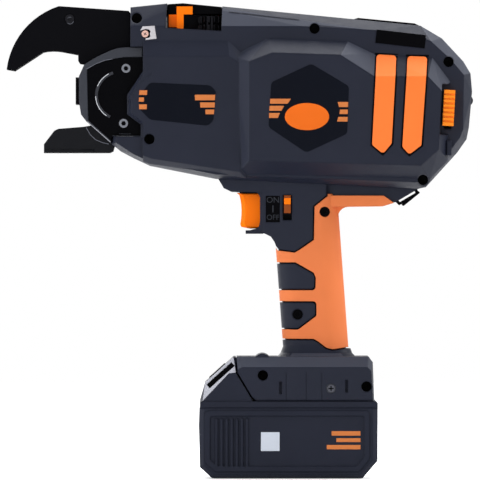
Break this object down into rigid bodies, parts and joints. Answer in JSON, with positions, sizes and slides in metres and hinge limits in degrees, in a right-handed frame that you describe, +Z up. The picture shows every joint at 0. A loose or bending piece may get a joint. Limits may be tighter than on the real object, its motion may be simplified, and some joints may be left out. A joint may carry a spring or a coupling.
{
  "type": "rebar tying tool",
  "caption": "Battery rebar tying tool with hooked jaws, wire feed, planetary twist drive, wire reel drum, trigger grip and slide-on battery.",
  "frame": {"origin": "centre of the battery's flat base, on the split plane of the housing", "axes": "+Z up, nose towards -X, +Y towards the reel drum"},
  "size_m": [0.2933, 0.0958, 0.2984],
  "materials": {
    "housing": "fine-grained slate grey moulding",
    "soft_grip": "soft orange overmould",
    "orange": "smooth orange moulding",
    "black": "black moulding",
    "black_steel": "black coated steel",
    "rim": "dark grey painted casting",
    "screw": "plain steel",
    "dark_screw": "blackened steel",
    "gear": "machined steel",
    "case": "die-cast",
    "wire": "annealed tying wire",
    "board": "circuit board",
    "cell": "sleeved steel can"
  },
  "bodies": {
    "tool": {"body_left": "housing", "body_right": "housing", "grip_left": "soft_grip", "grip_right": "soft_grip", "stripe_inserts": "orange", "housing_screws": "dark_screw", "nose_shell": "rim", "nose_plate_left": "black", "nose_plate_right": "black", "nose_screws": "screw", "contact_plate": "black", "jaw_plate_left": "black_steel", "jaw_plate_right": "black_steel", "curl_guide": "black_steel", "jaw_bolt": "screw", "jaw_dowel": "screw", "lower_jaw_pin": "gear", "cutter_block": "gear", "twist_motor": "gear", "ring_gear": "gear", "gear_case": "case", "spindle_bearing": "gear", "feed_bracket": "black", "feed_motor": "gear", "feed_arm_pin": "gear", "wire_tube": "gear", "control_board": "board", "control_panel": "black", "trigger_spring": "screw", "trigger_switch": "black", "power_switch": "black", "strap_eye": "black", "foot_screw": "screw", "terminal_block": "black"},
    "lower_jaw": {"lower_jaw": "black_steel", "lower_jaw_spring": "black_steel"},
    "twist_spindle": {"spindle": "gear", "twist_hook": "gear"},
    "sun": {"sun_pinion": "gear"},
    "planet_a": {"planet_gear_a": "gear"},
    "planet_b": {"planet_gear_b": "gear"},
    "planet_c": {"planet_gear_c": "gear"},
    "feed_drive": {"feed_roller": "gear", "feed_wheel": "gear"},
    "feed_motor_pinion": {"feed_pinion": "gear"},
    "release_arm": {"feed_arm": "gear", "feed_lever": "orange"},
    "idler": {"idler_roller": "gear"},
    "reel": {"wire_reel": "black", "wire_winding": "wire"},
    "reel_lock_pin": {"reel_pin": "gear"},
    "latch": {"reel_latch": "orange"},
    "trigger": {"trigger": "orange"},
    "power_slide": {"power_slide": "orange"},
    "battery": {"battery_tub": "housing", "battery_cover": "housing", "battery_cells": "cell", "cell_holders": "black"},
    "battery_release": {"battery_button": "black"}
  },
  "joints": [
    {"name": "lower_jaw_swing", "type": "hinge", "parent": "tool", "child": "lower_jaw", "pos_m": [-0.113, 0, 0.2175], "axis": [0, -1, 0], "range_deg": [0, 20], "stiffness_Nm_per_rad": 0.12, "springref_deg": -20.05},
    {"name": "twist_spin", "type": "hinge", "parent": "tool", "child": "twist_spindle", "pos_m": [-0.085, 0, 0.242], "axis": [1, 0, 0], "continuous": true},
    {"name": "sun_spin", "type": "hinge", "parent": "tool", "child": "sun", "pos_m": [-0.05, 0, 0.242], "axis": [1, 0, 0], "continuous": true},
    {"name": "planet_a_spin", "type": "hinge", "parent": "twist_spindle", "child": "planet_a", "pos_m": [-0.051, 0, 0.2516], "axis": [1, 0, 0], "continuous": true},
    {"name": "planet_b_spin", "type": "hinge", "parent": "twist_spindle", "child": "planet_b", "pos_m": [-0.051, -0.00831, 0.2372], "axis": [1, 0, 0], "continuous": true},
    {"name": "planet_c_spin", "type": "hinge", "parent": "twist_spindle", "child": "planet_c", "pos_m": [-0.051, 0.00831, 0.2372], "axis": [1, 0, 0], "continuous": true},
    {"name": "feed_spin", "type": "hinge", "parent": "tool", "child": "feed_drive", "pos_m": [-0.048, 0.008, 0.285], "axis": [0, 0, 1], "continuous": true},
    {"name": "feed_pinion_spin", "type": "hinge", "parent": "tool", "child": "feed_motor_pinion", "pos_m": [-0.02738, 0.01072, 0.27], "axis": [0, 0, 1], "continuous": true},
    {"name": "release_swing", "type": "hinge", "parent": "tool", "child": "release_arm", "pos_m": [-0.062, 0, 0.276], "axis": [0, 0, -1], "range_deg": [0, 12], "stiffness_Nm_per_rad": 0.3, "springref_deg": -11.46},
    {"name": "idler_spin", "type": "hinge", "parent": "release_arm", "child": "idler", "pos_m": [-0.048, -0.008, 0.285], "axis": [0, 0, 1], "continuous": true},
    {"name": "reel_spin", "type": "hinge", "parent": "tool", "child": "reel", "pos_m": [0.0655, 0.03, 0.231], "axis": [0, 1, 0], "continuous": true},
    {"name": "latch_slide", "type": "slide", "parent": "tool", "child": "latch", "axis": [-0.0523, 0, -0.9986], "range_m": [0, 0.005], "stiffness_N_per_m": 300, "springref_m": -0.004},
    {"name": "reel_pin_slide", "type": "slide", "parent": "tool", "child": "reel_lock_pin", "axis": [0, -1, 0], "range_m": [0, 0.009]},
    {"name": "trigger_pull", "type": "slide", "parent": "tool", "child": "trigger", "axis": [1, 0, 0], "range_m": [0, 0.006], "stiffness_N_per_m": 900, "springref_m": -0.003},
    {"name": "power_slide_move", "type": "slide", "parent": "tool", "child": "power_slide", "axis": [0, 0, -1], "range_m": [0, 0.0028]},
    {"name": "battery_slide", "type": "slide", "parent": "tool", "child": "battery", "axis": [-1, 0, 0], "range_m": [0, 0.085]},
    {"name": "battery_button_press", "type": "slide", "parent": "battery", "child": "battery_release", "axis": [0.6691, 0, -0.7431], "range_m": [0, 0.0025], "stiffness_N_per_m": 1200, "springref_m": -0.002}
  ],
  "couplings": [
    {"joint": "sun_spin", "follows": "twist_spin", "ratio": 4},
    {"joint": "planet_a_spin", "follows": "twist_spin", "ratio": -3},
    {"joint": "planet_b_spin", "follows": "twist_spin", "ratio": -3},
    {"joint": "planet_c_spin", "follows": "twist_spin", "ratio": -3},
    {"joint": "feed_pinion_spin", "follows": "feed_spin", "ratio": -3.3333},
    {"joint": "idler_spin", "follows": "feed_spin", "ratio": -1},
    {"joint": "reel_pin_slide", "follows": "latch_slide", "ratio": 1.8}
  ]
}
